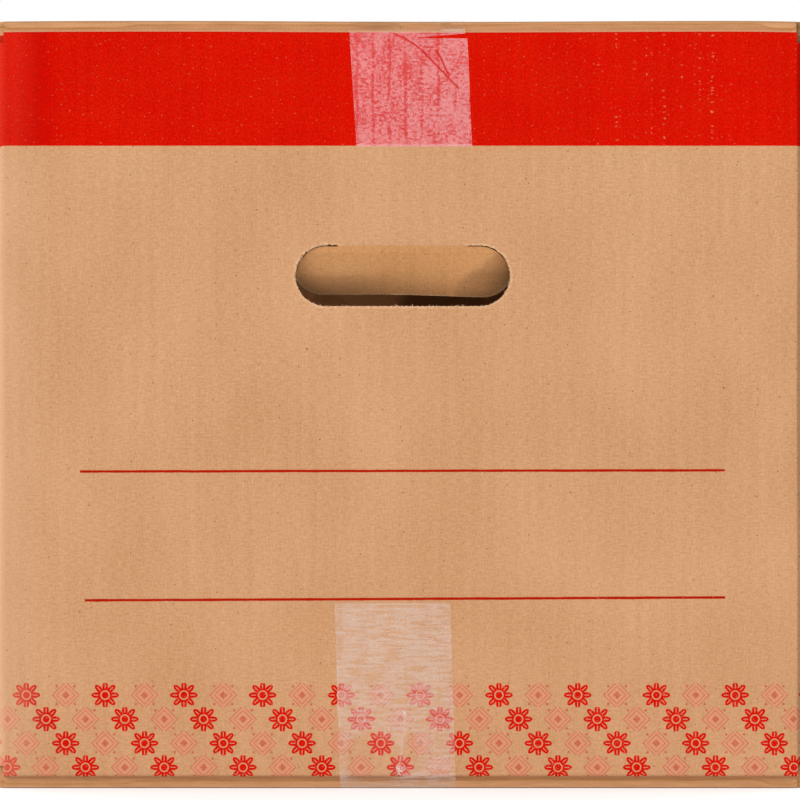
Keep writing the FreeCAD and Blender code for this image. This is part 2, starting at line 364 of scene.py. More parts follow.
def shape_tab(bm, side):
    """Bends the tab, frays its cut edge a little, and gives its face a material of its own."""
    tab, kind = bm.faces.layers.int["tab"], bm.faces.layers.int["kind"]
    faces = [f for f in bm.faces if f[tab] and f.calc_center_median().y * side > 0]
    points = [v for v in {v for f in faces for v in f.verts} if all(f[tab] for f in v.link_faces)]
    moved = bent_tab(np.array([v.co for v in points]), side)
    for v, p in zip(points, moved):
        v.co = p
        if len({f[kind] for f in v.link_faces}) > 1:
            from_middle = Vector((p[0] + HOLE_OFFSET * side, 0, p[2] - HOLE_MIDDLE)).normalized()
            fray = 0.22 if p[0] * -side < 30 else 0.05
            v.co += from_middle * float(rough(p[0], p[2])) * fray
    for f in faces:
        if f[kind] == OUTSIDE:
            f[kind] = TAB


# Cut edges, where the two liners and the fluted medium between them show

def medium_height(x):
    """How high in the outer flaps' cut edge the medium runs, from 0 to 1. It wanders along the edge."""
    places = (-173, -121, -114, -87, -22, 112, 155, 160, 171)
    heights = (0.32, 0.32, 0.60, 0.67, 0.67, 0.74, 0.74, 0.33, 0.32)
    return np.interp(x, places, heights) + 0.02 * np.sin(x / 31 + 0.5) + 0.015 * np.sin(x / 7.3)


# Levels in the height of a flap's cut edge, from 0 to 1, and how deep each is hollowed out
STRIP_LEVELS = (0.08, 0.11, 0.3, 0.38, 0.62, 0.7, 0.89, 0.92)
STRIP_DEPTHS = (0, 0.16, 0.16, 0.02, 0.02, 0.16, 0.16, 0)
FLAP_LEVELS = (OUTER_BOTTOM, OUTER_TOP - BOARD)
# Levels in the depth of a hand hole's rim, from 0 at the front to 1
RIM_LEVELS = (0.08, 0.12, 0.2, 0.32, 0.44, 0.56, 0.68, 0.8, 0.88, 0.92)
RIM_HOLLOW = 1.4


def strip_faces(bm, side, low):
    """The cut edge of the two outer flaps at one end of the carton, at the top or the bottom."""
    kind = bm.faces.layers.int["kind"]
    found = []
    for f in bm.faces:
        if f.normal.y * side > 0.99 and f[kind] != OUTSIDE and abs(f.verts[0].co.y) > HALF_LENGTH - 9:
            if low - 0.01 < f.calc_center_median().z < low + BOARD + 0.01:
                found.append(f)
    return found


def open_flap_ends(bm):
    """Hollows out the ends of the outer flaps on both sides of the medium, which runs along them."""
    kind = bm.faces.layers.int["kind"]
    for side in (-1, 1):
        for low in FLAP_LEVELS:
            strip = strip_faces(bm, side, low)
            for f in strip:
                t = (f.calc_center_median().z - low) / BOARD
                if STRIP_LEVELS[3] < t < STRIP_LEVELS[4]:
                    f[kind] = MEDIUM
            moves = {}
            for v in {v for f in strip for v in f.verts}:
                t = (v.co.z - low) / BOARD
                near = min(range(len(STRIP_LEVELS)), key=lambda i: abs(STRIP_LEVELS[i] - t))
                between_levels = abs(STRIP_LEVELS[near] - t) > 0.004
                if between_levels or any(f.normal.y * side < 0.99 for f in v.link_faces):
                    continue
                height = v.co.z
                if 2 <= near <= 5:
                    middle = float(medium_height(v.co.x * -side))
                    half = 0.08 if near in (3, 4) else 0.14
                    height = low + BOARD * (middle + (half if near > 3 else -half))
                moves[v] = Vector((0, -side * STRIP_DEPTHS[near], height - v.co.z))
            for v, move in moves.items():
                v.co += move


def rim_faces(bm, side):
    """The hand hole's cut rim, apart from the tab."""
    tab = bm.faces.layers.int["tab"]
    found = []
    for f in bm.faces:
        if f[tab] or abs(f.normal.y) > 0.02:
            continue
        c = f.calc_center_median()
        x, z = c.x + HOLE_OFFSET * side, c.z - HOLE_MIDDLE
        around = abs(x) < HOLE_LENGTH / 2 + 0.5 and abs(z) < HOLE_HEIGHT / 2 + 0.5
        within = 0.01 < HALF_LENGTH - c.y * side < BOARD - 0.01
        if around and within and x * f.normal.x + z * f.normal.z < 0:
            found.append(f)
    return found


def slice_rim(bm, side):
    levels = [side * (HALF_LENGTH - BOARD * t) for t in RIM_LEVELS]
    rim = sliced(bm, 1, sorted(levels), rim_faces(bm, side))
    middle, half = -HOLE_OFFSET * side, HOLE_LENGTH / 2
    rim = sliced(bm, 0, spaced(middle - half, middle + half, RIM_STEPS[0]), rim)
    sliced(bm, 2, spaced(HOLE_MIDDLE - 12, HOLE_MIDDLE + 12, RIM_STEPS[1]), rim)


def open_hole_rims(bm):
    """Hollows out the rims of the hand holes round the medium, and makes them a little ragged."""
    tab, kind = bm.faces.layers.int["tab"], bm.faces.layers.int["kind"]
    for side in (-1, 1):
        rim = set(rim_faces(bm, side))
        moves = {}
        for v in {v for f in rim for v in f.verts}:
            own = [f for f in v.link_faces if f in rim]
            away = sum((f.normal for f in own), Vector()).normalized()
            t = (HALF_LENGTH - v.co.y * side) / BOARD
            wave = 0.5 + 0.34 * math.sin((v.co.x - FLUTE_SHIFT) * 2 * math.pi / FLUTE_PITCH)
            if 0.1 < t < 0.9 and abs(t - wave) > 0.09 and len(own) == len(v.link_faces):
                moves[v] = away * -RIM_HOLLOW
            elif t < 0.1 and all(f in rim or f[kind] == OUTSIDE and not f[tab] for f in v.link_faces):
                ragged = float(rough(v.co.x * 1.3, v.co.z))
                torn = v.co.x * -side < -20 and v.co.z > HOLE_MIDDLE - 2
                moves[v] = away * (-0.1 - 0.7 * max(ragged, 0) if torn else 0.24 * ragged)
        for v, move in moves.items():
            v.co += move


def carton():
    """The whole sheet: its faces told apart, cut fine, laid out and then moved."""
    bm = copied("carton")
    tab, kind = bm.faces.layers.int["tab"], bm.faces.layers.int["kind"]
    for f in bm.faces:
        f[kind] = CUT
    for f in patch_from(bm, Vector((0, -HALF_LENGTH, 100)), Vector((0, -1, 0))):
        f[kind] = OUTSIDE
    for f in patch_from(bm, Vector((0, -HALF_LENGTH + BOARD, 100)), Vector((0, 1, 0))):
        f[kind] = INSIDE
    for side in (-1, 1):
        faces = tab_faces(bm, side)
        for f in faces:
            f[tab] = 1
        middle, half = -HOLE_OFFSET * side, HOLE_LENGTH / 2
        fine = sliced(bm, 0, spaced(middle - half, middle + half, TAB_STEPS[0]), faces)
        sliced(bm, 2, spaced(HOLE_BOTTOM, HOLE_TOP, TAB_STEPS[1]), fine)
        slice_rim(bm, side)
        for low in FLAP_LEVELS:
            strip = sliced(bm, 2, [low + BOARD * t for t in STRIP_LEVELS], strip_faces(bm, side, low))
            sliced(bm, 0, spaced(-172, 172, FLAP_END_STEP), strip)
    near_corner = (163.5, 166.5, 168.5, 170.2)
    for axis, half in ((0, HALF_WIDTH), (1, HALF_LENGTH)):
        edges = [s * (half - HALF_WIDTH + place) for s in (-1, 1) for place in near_corner]
        sliced(bm, axis, sorted(edges + spaced(-half, half, PANEL_STEP)))
    sliced(bm, 2, spaced(0, OUTER_TOP, PANEL_STEP))
    bm.normal_update()
    lay_out(bm, sheet_place)
    for side in (-1, 1):
        shape_tab(bm, side)
    open_flap_ends(bm)
    open_hole_rims(bm)
    for f in bm.faces:
        f.material_index = f[kind]
    place_all(bm, settled)
    return bm


# Tapes

# Creases on the front panel, as lines through places across and up it
TOP_CREASES = (
    ((-3.7, 326.6), (4.5, 322.3), (9.3, 318.8), (14.9, 312.8), (19.2, 308.0), (24.4, 302.4)),
    ((15.3, 318.8), (17.1, 315.4), (20.5, 307.6)),
)
BOTTOM_CREASES = (((1.9, 32.5), (1.5, 23.0), (-1.1, 6.5)),)
TAPE_LIFT = 0.05               # so that the film stays clear of the board


def tape_place(p, n):
    """How far across the tape, and how far along it: the height on the front panel, then onwards."""
    x, y, z = p
    level = OUTER_TOP if z > HALF_HEIGHT else OUTER_BOTTOM
    onwards = 1 if z > HALF_HEIGHT else -1
    if abs(n[2]) > 0.9:
        return x, level + onwards * (y + HALF_LENGTH)
    over_fold = onwards * (HALF_LENGTH - abs(y))
    if y < 0:
        return x, z + over_fold
    return x, level + onwards * 2 * HALF_LENGTH + (level - z) - over_fold


def away_from(x, z, points):
    """How far each point is from a line through these points."""
    nearest = np.full(len(x), 1e9)
    for (x0, z0), (x1, z1) in zip(points, points[1:]):
        run = np.array([x1 - x0, z1 - z0])
        along = np.clip(((x - x0) * run[0] + (z - z0) * run[1]) / run.dot(run), 0, 1)
        nearest = np.minimum(nearest, np.hypot(x - x0 - along * run[0], z - z0 - along * run[1]))
    return nearest


def tape(node, creases):
    """One length of film, over the board as it bulges and sags."""
    bm = copied(node)
    heights = [v.co.z for v in bm.verts]
    sliced(bm, 2, spaced(min(heights), max(heights), TAPE_STEP))
    sliced(bm, 0, spaced(*TAPE_SPAN, TAPE_STEP))
    sliced(bm, 1, spaced(-HALF_LENGTH, HALF_LENGTH, PANEL_STEP))
    bm.normal_update()
    lay_out(bm, tape_place)

    def laid(p):
        x, y, z = p.T
        moved = settled(p)
        on_end = np.abs(y) > HALF_LENGTH - 0.5
        raised = TAPE_LIFT + 0.03 * (1 + np.sin(x / 5.1 + z / 8.3))
        for points in creases:
            ridge = np.exp(-(away_from(x, z, points) / 0.8) ** 2)
            raised += (y < 0) * 0.1 * ridge
        moved[:, 1] += on_end * np.sign(y) * raised
        moved[:, 2] += (~on_end & (z > HALF_HEIGHT)) * raised
        # Below its tear the tape has slipped a little to the right
        moved[:, 0] += (y < 0) * 0.8 * ease(x, 10, 27) * ease(z, 280, 322) * (z < INNER_TOP - 2.3)
        return moved

    place_all(bm, laid)
    return bm


# Loose paper fibres at the cut rims of the hand holes

def fibres(side, count, draw):
    """Thin curled strands with three sides, which taper towards their ends."""
    bm = bmesh.new()
    straight = HOLE_LENGTH / 2 - HOLE_HEIGHT / 2
    radius = HOLE_HEIGHT / 2
    for i in range(count):
        upper_slit = i % 3 == 0
        if upper_slit or draw.random() < 0.5:
            end = -1 if upper_slit or draw.random() < 0.6 else 1
            span = (0.02, 0.5) if upper_slit else (-0.5, 0.1)
            angle = draw.uniform(*span) * math.pi
            around = Vector((math.cos(angle) * end, 0, math.sin(angle)))
            place, outward = Vector((straight * end, 0, 0)) + around * radius, -around
        else:
            x = draw.uniform(-straight, straight)
            place, outward = Vector((x, 0, -radius)), Vector((0, 0, 1))
        length = draw.uniform(0.5, 1.3)
        thick = draw.uniform(0.1, 0.24)
        along = Vector((-outward.z, 0, outward.x))
        lean = draw.choice((-2.5, 2.5)) if upper_slit else draw.uniform(-2, 2)
        heading = (outward + along * lean + Vector((0, draw.uniform(-0.7, 0.0), 0))).normalized()
        curl = Vector((draw.uniform(-1, 1), draw.uniform(-0.6, 0.3), draw.uniform(-1, 1))) * 0.35
        across = heading.cross(curl).normalized()
        at = place - outward * draw.uniform(0.0, 0.25) + Vector((0, draw.uniform(0.0, 0.2), 0))
        rings = []
        for k in range(4):
            width = thick * (1 - k / 4.2)
            other = heading.cross(across)
            ring = []
            for turn in (0, 2.1, 4.2):
                p = at + (across * math.cos(turn) + other * math.sin(turn) * 0.5) * width
                ring.append(bm.verts.new((
                    -side * (p.x + HOLE_OFFSET), side * HALF_LENGTH - side * p.y, HOLE_MIDDLE + p.z,
                )))
            rings.append(ring)
            heading = (heading + curl * 0.5).normalized()
            at = at + heading * length / 3
        for lower, upper in zip(rings, rings[1:]):
            for k in range(3):
                bm.faces.new((lower[k], lower[(k + 1) % 3], upper[(k + 1) % 3], upper[k]))
        bm.faces.new(rings[0][::-1])
        bm.faces.new(rings[-1])
    bmesh.ops.recalc_face_normals(bm, faces=bm.faces)
    place_all(bm, settled)
    bm.loops.layers.uv.new("sheet")
    return bm


# Shader nodes, written as sums and products of fields over the surface

def feed(tree, socket, value):
    """Sets a node's input to a number, or links it to a field."""
    if isinstance(value, Field):
        tree.links.new(value.socket, socket)
    else:
        socket.default_value = value


class Field:
    """A number at every point of a surface."""

    def __init__(self, tree, socket):
        self.tree = tree
        self.socket = socket

    def math(self, operation, *others):
        node = self.tree.nodes.new("ShaderNodeMath")
        node.operation = operation
        for i, value in enumerate((self,) + others):
            feed(self.tree, node.inputs[i], value)
        return Field(self.tree, node.outputs[0])

    def __add__(self, other):
        return self.math("ADD", other)

    __radd__ = __add__

    def __sub__(self, other):
        return self.math("SUBTRACT", other)

    def __rsub__(self, other):
        return (self * -1) + other

    def __mul__(self, other):
        return self.math("MULTIPLY", other)

    __rmul__ = __mul__

    def __truediv__(self, other):
        return self.math("DIVIDE", other)

    def __abs__(self):
        return self.math("ABSOLUTE")

    def least(self, other):
        return self.math("MINIMUM", other)

    def most(self, other):
        return self.math("MAXIMUM", other)

    def floor(self):
        return self.math("FLOOR")

    def wrapped(self, high):
        return self.math("WRAP", high, 0.0)

    def rising(self, low, high, start=0.0, end=1.0):
        """Goes smoothly from start to end while the field goes from low to high."""
        node = self.tree.nodes.new("ShaderNodeMapRange")
        node.interpolation_type = "SMOOTHSTEP"
        self.tree.links.new(self.socket, node.inputs["Value"])
        for name, value in (("From Min", low), ("From Max", high), ("To Min", start), ("To Max", end)):
            feed(self.tree, node.inputs[name], value)
        return Field(self.tree, node.outputs["Result"])

    def below(self, limit, soft=0.05):
        """1 below the limit and 0 above it, with an edge this soft."""
        return self.rising(limit - soft, limit + soft, 1.0, 0.0)

    def within(self, low, high, soft=0.05):
        """1 from low to high and 0 outside."""
        return self.rising(low - soft, low + soft) * self.rising(high - soft, high + soft, 1.0, 0.0)


SEED_STEP = 53.7               # shifts one pattern from the next, in its own units


class Paint:
    """One material's nodes."""

    def __init__(self, name):
        self.material = bpy.data.materials.new(name)
        self.material.use_nodes = True
        self.tree = self.material.node_tree
        self.shader = self.tree.nodes["Principled BSDF"]

    def new(self, kind, **settings):
        node = self.tree.nodes.new(kind)
        for key, value in settings.items():
            setattr(node, key, value)
        return node

    def measured(self, vector, count):
        """The first numbers of a vector, in millimetres."""
        parts = self.new("ShaderNodeSeparateXYZ")
        self.tree.links.new(vector, parts.inputs[0])
        return [Field(self.tree, parts.outputs[i]) / MM for i in range(count)]

    def sheet(self):
        """The two places on the sheet."""
        return self.measured(self.new("ShaderNodeUVMap", uv_map="sheet").outputs["UV"], 2)

    def place(self):
        """Where the point is on the carton."""
        return self.measured(self.new("ShaderNodeTexCoord").outputs["Object"], 3)

    def texture(self, kind, u, v, size_u, size_v, seed, **settings):
        """A flat pattern of this size in millimetres. The seed shifts it."""
        node = self.new(kind, **settings)
        node.inputs["Scale"].default_value = 1.0
        at = self.new("ShaderNodeCombineXYZ")
        for i, field in enumerate((u / size_u + seed * SEED_STEP, v / (size_v or size_u))):
            self.tree.links.new(field.socket, at.inputs[i])
        self.tree.links.new(at.outputs[0], node.inputs["Vector"])
        return node

    def noise(self, u, v, size_u, size_v=None, detail=1.0, roughness=0.5, seed=0.0, distortion=0.0):
        """Cloudy noise between 0 and 1, with clouds about size_u by size_v millimetres."""
        node = self.texture("ShaderNodeTexNoise", u, v, size_u, size_v, seed, noise_dimensions="2D")
        for name, value in (("Detail", detail), ("Roughness", roughness), ("Distortion", distortion)):
            node.inputs[name].default_value = value
        return Field(self.tree, node.outputs[0])

    def dots(self, u, v, spacing_u, spacing_v=None, seed=0.0):
        """Scattered dots: the distance to the nearest, in units of their spacing, and its own number."""
        node = self.texture(
            "ShaderNodeTexVoronoi", u, v, spacing_u, spacing_v, seed, voronoi_dimensions="2D",
        )
        parts = self.new("ShaderNodeSeparateColor")
        self.tree.links.new(node.outputs["Color"], parts.inputs[0])
        return Field(self.tree, node.outputs["Distance"]), Field(self.tree, parts.outputs[0])

    def mixed(self, share, first, second):
        """The first colour where share is 0, the second where it is 1."""
        node = self.new("ShaderNodeMix", data_type="RGBA")
        self.tree.links.new(share.socket, node.inputs["Factor"])
        for name, colour in (("A", first), ("B", second)):
            socket = [s for s in node.inputs if s.name == name and s.type == "RGBA"][0]
            if isinstance(colour, tuple):
                socket.default_value = colour + (1.0,)
            else:
                self.tree.links.new(colour, socket)
        return [s for s in node.outputs if s.type == "RGBA"][0]

    def brightened(self, colour, field):
        """The colour times a field around 1."""
        node = self.new("ShaderNodeVectorMath", operation="SCALE")
        self.tree.links.new(colour, node.inputs[0])
        self.tree.links.new(field.socket, node.inputs["Scale"])
        return node.outputs[0]

    def bump(self, height, depth):
        """A relief of this depth in millimetres."""
        node = self.new("ShaderNodeBump")
        node.inputs["Strength"].default_value = 1.0
        node.inputs["Distance"].default_value = depth * MM
        self.tree.links.new(height.socket, node.inputs["Height"])
        self.tree.links.new(node.outputs[0], self.shader.inputs["Normal"])

    def finish(self, colour, roughness, specular, alpha=None):
        """Sets the surface's own values, and gives the material back."""
        self.tree.links.new(colour, self.shader.inputs["Base Color"])
        self.shader.inputs["Roughness"].default_value = roughness
        self.shader.inputs["Specular IOR Level"].default_value = specular
        if alpha is not None:
            self.tree.links.new(alpha.socket, self.shader.inputs["Alpha"])
        return self.material


# Colours, in linear light
KRAFT = (0.446, 0.2355, 0.1175)
# painted shade: the tab's kraft, darker and browner for the warm shade inside the hand hole
KRAFT_TAB_SHADED = (0.450, 0.220, 0.089)
KRAFT_INSIDE = (0.45, 0.236, 0.115)
# painted highlight for the left upright corner, paler and less saturated than the kraft
KRAFT_CORNER_HIGHLIGHT = (0.515, 0.310, 0.193)
KRAFT_TINTED = (0.530, 0.203, 0.125)
GRAIN = (0.15, 0.20, 0.29)     # how much darker and lighter the paper's fibres are
EDGE_TAN = (0.50, 0.262, 0.125)
EDGE_SHADE = (0.43, 0.215, 0.097)
EDGE_GREY = (0.33, 0.210, 0.120)
# the lower liner's edge, paler: partly its own colour, partly a painted highlight of the fold below
EDGE_PINK_HIGHLIGHT = (0.57, 0.31, 0.175)
EDGE_GREASY = (0.31, 0.155, 0.062)
# the medium: its own darker paper, and painted shade of the hollows beside it
MEDIUM_TAN_SHADED = (0.445, 0.215, 0.082)
MEDIUM_AMBER_SHADED = (0.36, 0.165, 0.058)
TORN_PALE = (0.60, 0.40, 0.25)
TORN_TAN = (0.50, 0.30, 0.165)
SPECK = (0.12, 0.06, 0.03)
INK = (0.462, 0.0024, 0.0004)
INK_THIN = (0.465, 0.0095, 0.0018)
INK_LINE = (0.315, 0.0090, 0.0024)
INK_PALE = (0.41, 0.093, 0.047)
# painted light: the haze takes the colour of the light scattered up from beneath the film, pink over the
# ink and brown over the board and the cut edge
FILM_OVER_INK = (0.82, 0.435, 0.435)
FILM_OVER_BOARD = (0.68, 0.555, 0.48)
FILM_OVER_EDGE = (0.47, 0.30, 0.20)
FLOOR_DIM = (0.92, 0.94, 0.96)
FLOOR_PALE = (0.94, 0.96, 0.98)

# How rough and how glossy surfaces are, and how deep their relief is
LINER_ROUGHNESS = 0.85
EDGE_ROUGHNESS = 0.9
BOARD_GLOSS = 0.0
FILM_ROUGHNESS = 0.35
FILM_GLOSS = 0.4
LINER_RELIEF = 0.06
INSIDE_RELIEF = 0.08
EDGE_RELIEF = 0.12

# The print and the marks on the front panel, as places across and up the sheet
BAND_BOTTOM = 277.35
TOP_TAPE_END = INNER_TOP - 48.6
LINES = (                      # a printed line's height, its slope, its two ends and its thickness
    (137.0, 0.0018, (-138.4, 140.1), 0.40),
    (81.72, 0.0046, (-136.2, 140.1), 0.42),
)
ROLLED = -156                  # the middle of an upright stripe where the ink is thicker
SPECKS = (                     # single specks, each with its radius
    ((139.7, 172.9), 0.45),
    ((-40.4, 189.7), 0.5),
    ((-138.4, 76.2), 0.35),
    ((-99.1, 70.5), 0.3),
    ((54.2, 263.1), 0.35),
)


def crests(u, one=FLUTE_SHIFT):
    """1 on the crests of the flutes, -1 between them. One of the crests lies at the place one."""
    return ((u - one) * (2 * math.pi / FLUTE_PITCH)).math("COSINE")


def across_panel(u):
    """Places across the front or back panel from its own middle. The side panels lie beyond."""
    return (u + BACK_MIDDLE / 2).wrapped(BACK_MIDDLE) - BACK_MIDDLE / 2


def kraft(paint, u, v, base=KRAFT):
    """Brown paper: its colour, its grain, and the relief of its fibres and of the flutes under it."""
    cloud = paint.noise(u, v, 42, 60)
    grain = paint.noise(u, v, 0.95, 1.0, detail=2, roughness=0.75)
    along = paint.noise(u, v, 0.7, 3.2, detail=0, seed=3.1)
    across = paint.noise(u, v, 3.2, 0.7, detail=0, seed=7.7)
    streak = paint.noise(u, v, 3.5, 60, seed=1.7)
    flute = crests(u)
    light = (grain - 0.5) * 2.5 + (along - 0.5) * 0.6 + (across - 0.5) * 0.9 + (cloud - 0.5)
    # painted shade: the flutes' crests are drawn a little lighter than the hollows between them, as the
    # washboard relief is lit
    light = light + (streak - 0.5) * 0.5 + flute * 0.035
    darker = tuple(c * (1 - k) for c, k in zip(base, GRAIN))
    lighter = tuple(c * (1 + k) for c, k in zip(base, GRAIN))
    colour = paint.mixed(light * 0.5 + 0.5, darker, lighter)
    distance, own = paint.dots(u, v, 9)
    speck = distance.below(0.032, 0.012) * own.below(0.22, 0.01)
    fine_distance, fine_own = paint.dots(u, v, 2.6, seed=4.4)
    fine_speck = fine_distance.below(0.07, 0.03) * fine_own.below(0.10, 0.01) * 0.35
    colour = paint.mixed(speck.most(fine_speck) * 0.75, colour, SPECK)
    relief = grain + flute * 0.25
    return colour, light, relief


def ornament(u, v):
    """Generic printed ornament: rosettes and lozenges in turn, on a lattice of staggered rows.

    Returns how much strong ink there is, how much thin ink, and how much the paper is tinted.
    """
    row_pitch, column_pitch = 10.4, 17.0
    lowest, rows = 9.0, 4
    row = ((v - (lowest - row_pitch / 2)) / row_pitch).floor()
    in_row = v - lowest - row * row_pitch
    shifted = u + row.wrapped(2.0) * (column_pitch / 2)
    column = (shifted / column_pitch + 0.5).floor()
    in_column = shifted - column * column_pitch
    radius = (in_row * in_row + in_column * in_column).math("SQRT")
    angle = in_row.math("ARCTAN2", in_column)
    petal_edge = 3.1 + abs((angle * 4).math("COSINE")) * 2.9
    rosette = (radius - petal_edge).below(0, 0.12)
    eye = radius.within(1.5, 2.05, 0.1)
    slits = (abs((angle * 4).math("SINE")) * radius).below(0.62, 0.12) * radius.within(2.9, 4.9, 0.15)
    strong = rosette * (1 - eye) * (1 - slits)
    lozenge = abs(in_row) + abs(in_column)
    outline = lozenge.within(5.5, 6.0, 0.1).most(lozenge.within(3.6, 4.05, 0.1))
    outline = outline.most(lozenge.below(1.7, 0.1))
    square = abs(in_row).most(abs(in_column))
    corner_dots = abs(square - 4.0).below(0.4, 0.1) * abs(abs(in_row) - abs(in_column)).below(0.7, 0.15)
    thin = outline.most(corner_dots)
    turn = (column + (row / 2).floor()).wrapped(2.0).rising(0.4, 0.6)
    printed = v.within(-30, lowest + (rows - 0.5) * row_pitch, 0.02)
    tinted = rosette * (1 - turn) + lozenge.below(5.8, 0.1) * turn
    return strong * (1 - turn) * printed, thin * turn * printed, tinted * printed


def hole_distance(w, v):
    """How far inside the hand hole's outline a place is, or on the tab how far from its cut edge."""
    beyond = (abs(w - HOLE_OFFSET) - (HOLE_LENGTH - HOLE_HEIGHT) / 2).most(0.0)
    up = v - HOLE_MIDDLE
    return HOLE_HEIGHT / 2 - (beyond * beyond + up * up).math("SQRT")


def tab_board():
    """The outer liner on the punched tab, painted darker and browner than the panel as painted shade of
    the hole it is pushed into.
    """
    paint = Paint("kraft_board_tab")
    u, v = paint.sheet()
    colour, _, relief = kraft(paint, u, v, KRAFT_TAB_SHADED)
    w = across_panel(u)
    fuzz = paint.noise(u, v, 1.1, 0.9, seed=21.0)
    frayed = (hole_distance(w, v) - fuzz * 0.5).below(0.35, 0.2) * v.below(HOLE_MIDDLE + 4, 4)
    colour = paint.mixed(frayed * fuzz.rising(0.35, 0.6, 0.1, 0.5), colour, TORN_PALE)
    paint.bump(relief, LINER_RELIEF)
    return paint.finish(colour, LINER_ROUGHNESS, BOARD_GLOSS)


def outside_board():
    """The printed outer liner."""
    paint = Paint("kraft_board_outside")
    u, v = paint.sheet()
    colour, light, relief = kraft(paint, u, v)
    w = across_panel(u)
    ragged = (paint.noise(u, v, 1.3, 1.3, seed=9.0) - 0.5) * 0.35
    along = (paint.noise(u, v, 1.9, 1.7, seed=10.0) - 0.5) * 0.35
    edge = v + ragged * 0.5
    band = edge.within(BAND_BOTTOM, INNER_TOP + BOARD, 0.08)
    uneven = paint.noise(u, v, 9, 1, seed=31.0) * 0.3
    upper_line, lower_line = [
        abs(edge - w * slope - height).below(uneven + thick, 0.12) * w.within(*ends, 0.1)
        for height, slope, ends, thick in LINES
    ]
    lines = upper_line.most(lower_line)
    strong, thin, tinted = ornament(u + ragged * 0.2, v + ragged * 0.2)
    for place, size in SPECKS:
        colour = paint.mixed(spot(u, v, place, size, size, 0.5) * 0.7, colour, SPECK)
    # ink that did not take: pinholes, and level dashes on the flutes' crests towards the right
    pin_distance, pin_own = paint.dots(u + ragged * 4, v + along * 3, 1.9, seed=2.2)
    pinhole = pin_distance.below(0.10, 0.08) * pin_own.below(0.12, 0.02) * 0.55
    dash_distance, dash_own = paint.dots(u + along * 4, v + ragged * 4, 2.6, 1.3, seed=5.5)
    flute = crests(u)
    dashed_part = w.within(84, 141, 9) * flute.rising(-0.2, 0.8)
    dashed_part = dashed_part * paint.noise(u, v, 14, 22, seed=6.1).rising(0.38, 0.6)
    dash = dash_distance.below(0.18, 0.14) * dash_own.below(0.30, 0.02) * dashed_part
    bald = pinhole.most(dash) * (0.1 + paint.noise(u, v, 0.9, seed=8.0) * 0.8)
    starved = paint.noise(u, v, 0.8, 1.0, seed=12.0)
    cloud = paint.noise(u, v, 30, 12, seed=15.0)
    rolled = abs(w - ROLLED).below(5, 4)
    thinness = (starved * 0.9 + cloud * 0.2 + flute * 0.02 - rolled * 0.2).rising(0.35, 0.85)
    ink = paint.brightened(paint.mixed(thinness, INK, INK_THIN), light * 0.16 + 1.0 - rolled * 0.08)
    solid = band.most(strong * starved.rising(0.25, 0.42, 0.7, 1.0))
    colour = paint.mixed(tinted * 0.55, colour, KRAFT_TINTED)
    colour = paint.mixed(thin * starved.rising(0.3, 0.6, 0.6, 1.0), colour, INK_PALE)
    colour = paint.mixed(solid * (1 - bald), colour, ink)
    colour = paint.mixed(lines * (1 - bald), colour, INK_LINE)
    # painted shade: the ink is darkened along the fold, under the overhang of the flaps' ends
    fold_shade = v.within(INNER_TOP - 0.7, INNER_TOP + 0.7, 0.3)
    colour = paint.brightened(colour, 1.0 - fold_shade * 0.10)
    # the liner is frayed and paler round the hand hole
    folded = abs(w).below(28, 3) * v.rising(HOLE_MIDDLE, HOLE_MIDDLE + 2)
    frayed = (hole_distance(w, v) + ragged * 2).within(-0.9, 0.12, 0.15) * (1 - folded)
    colour = paint.mixed(frayed * starved.rising(0.35, 0.65) * 0.55, colour, TORN_PALE)
    # the upright corners: a painted highlight on the left, where the rounded corner turns towards the
    # light, and painted shade on the right, where it turns away
    lit_corner = w.rising(-179, -176.5) * w.rising(-173.4, -169.8, 0.55, 0.2)
    lit_corner = lit_corner * w.rising(-168, -150, 1.0, 0.0)
    colour = paint.mixed(lit_corner * (1 - band * 0.93), colour, KRAFT_CORNER_HIGHLIGHT)
    # painted shade on the right upright corner, which turns away from the light
    right_corner_shade = w.within(171.7, SIDE_START + 0.8, 0.35)
    colour = paint.brightened(colour, 1.0 - right_corner_shade * 0.32)
    paint.bump(relief, LINER_RELIEF)
    return paint.finish(colour, LINER_ROUGHNESS, BOARD_GLOSS)


def inside_board():
    """The plain inner liner."""
    paint = Paint("kraft_board_inside")
    u, v = paint.sheet()
    colour, _, relief = kraft(paint, u, v, KRAFT_INSIDE)
    paint.bump(relief, INSIDE_RELIEF)
    return paint.finish(colour, LINER_ROUGHNESS, BOARD_GLOSS)


